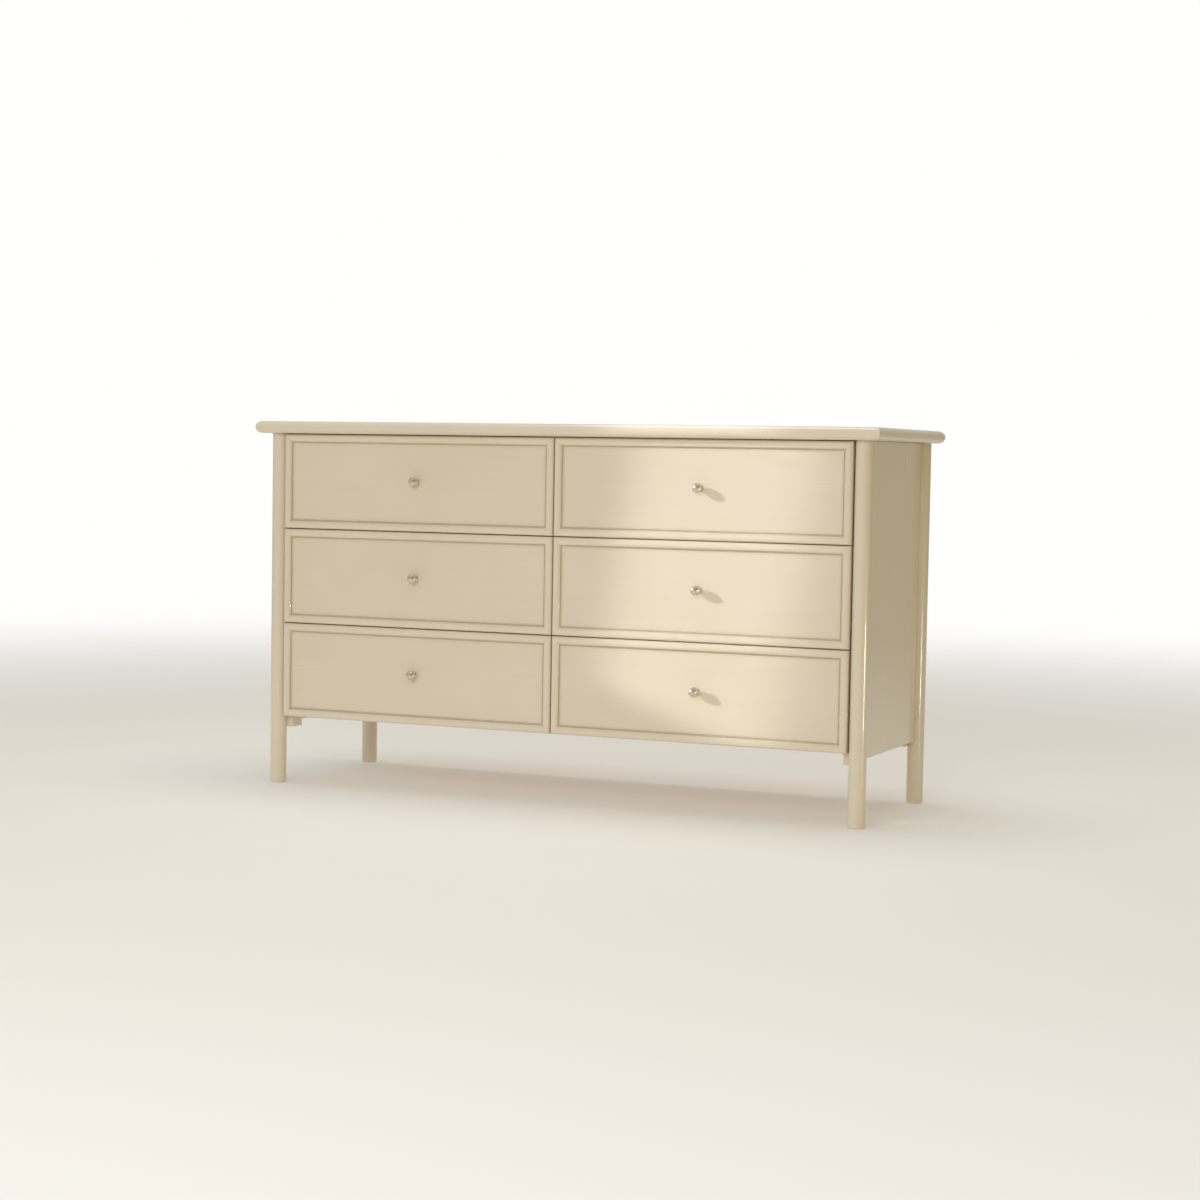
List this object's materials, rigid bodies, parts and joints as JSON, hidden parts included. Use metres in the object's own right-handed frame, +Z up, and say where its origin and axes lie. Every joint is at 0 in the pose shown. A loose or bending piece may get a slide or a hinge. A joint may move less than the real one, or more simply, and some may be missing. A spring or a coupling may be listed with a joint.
{
  "type": "dresser with drawers",
  "caption": "Low wide dresser on round corner posts, with bead-framed drawers that slide out on wooden runners and small ball knobs.",
  "frame": {"origin": "on the floor under the middle of the top panel, which is the middle of the whole piece in plan", "axes": "+Z up; the drawer fronts face -Y; +X runs along the front, to the right of a person facing it"},
  "size_m": [1.516, 0.504, 0.85],
  "materials": {
    "ivory_lacquer": "semi-gloss ivory lacquer on wood",
    "natural_wood": "clear-sealed light hardwood",
    "polished_nickel": "polished nickel plate"
  },
  "bodies": {
    "case": {"top_panel": "ivory_lacquer", "post_front_left": "ivory_lacquer", "post_front_right": "ivory_lacquer", "post_back_left": "ivory_lacquer", "post_back_right": "ivory_lacquer", "side_panel_left": "ivory_lacquer", "side_panel_right": "ivory_lacquer", "back_panel": "natural_wood", "bottom_panel": "natural_wood", "centre_divider": "natural_wood", "front_rail_top": "natural_wood", "front_rail_bottom": "ivory_lacquer", "back_rail_top": "natural_wood", "back_rail_bottom": "natural_wood", "drawer_blades": "natural_wood", "drawer_runners": "natural_wood", "drawer_stops": "natural_wood", "corner_blocks": "ivory_lacquer"},
    "drawer_top_left": {"drawer_top_left_front": "ivory_lacquer", "drawer_top_left_bead_frame": "ivory_lacquer", "drawer_top_left_side_left": "natural_wood", "drawer_top_left_side_right": "natural_wood", "drawer_top_left_back": "natural_wood", "drawer_top_left_bottom": "natural_wood", "drawer_top_left_knob": "polished_nickel"},
    "drawer_middle_left": {"drawer_middle_left_front": "ivory_lacquer", "drawer_middle_left_bead_frame": "ivory_lacquer", "drawer_middle_left_side_left": "natural_wood", "drawer_middle_left_side_right": "natural_wood", "drawer_middle_left_back": "natural_wood", "drawer_middle_left_bottom": "natural_wood", "drawer_middle_left_knob": "polished_nickel"},
    "drawer_bottom_left": {"drawer_bottom_left_front": "ivory_lacquer", "drawer_bottom_left_bead_frame": "ivory_lacquer", "drawer_bottom_left_side_left": "natural_wood", "drawer_bottom_left_side_right": "natural_wood", "drawer_bottom_left_back": "natural_wood", "drawer_bottom_left_bottom": "natural_wood", "drawer_bottom_left_knob": "polished_nickel"},
    "drawer_top_right": {"drawer_top_right_front": "ivory_lacquer", "drawer_top_right_bead_frame": "ivory_lacquer", "drawer_top_right_side_left": "natural_wood", "drawer_top_right_side_right": "natural_wood", "drawer_top_right_back": "natural_wood", "drawer_top_right_bottom": "natural_wood", "drawer_top_right_knob": "polished_nickel"},
    "drawer_middle_right": {"drawer_middle_right_front": "ivory_lacquer", "drawer_middle_right_bead_frame": "ivory_lacquer", "drawer_middle_right_side_left": "natural_wood", "drawer_middle_right_side_right": "natural_wood", "drawer_middle_right_back": "natural_wood", "drawer_middle_right_bottom": "natural_wood", "drawer_middle_right_knob": "polished_nickel"},
    "drawer_bottom_right": {"drawer_bottom_right_front": "ivory_lacquer", "drawer_bottom_right_bead_frame": "ivory_lacquer", "drawer_bottom_right_side_left": "natural_wood", "drawer_bottom_right_side_right": "natural_wood", "drawer_bottom_right_back": "natural_wood", "drawer_bottom_right_bottom": "natural_wood", "drawer_bottom_right_knob": "polished_nickel"}
  },
  "joints": [
    {"name": "drawer_top_left_slide", "type": "slide", "parent": "case", "child": "drawer_top_left", "axis": [0, -1, 0], "range_m": [0, 0.3285]},
    {"name": "drawer_middle_left_slide", "type": "slide", "parent": "case", "child": "drawer_middle_left", "axis": [0, -1, 0], "range_m": [0, 0.3285]},
    {"name": "drawer_bottom_left_slide", "type": "slide", "parent": "case", "child": "drawer_bottom_left", "axis": [0, -1, 0], "range_m": [0, 0.3285]},
    {"name": "drawer_top_right_slide", "type": "slide", "parent": "case", "child": "drawer_top_right", "axis": [0, -1, 0], "range_m": [0, 0.3285]},
    {"name": "drawer_middle_right_slide", "type": "slide", "parent": "case", "child": "drawer_middle_right", "axis": [0, -1, 0], "range_m": [0, 0.3285]},
    {"name": "drawer_bottom_right_slide", "type": "slide", "parent": "case", "child": "drawer_bottom_right", "axis": [0, -1, 0], "range_m": [0, 0.3285]}
  ]
}
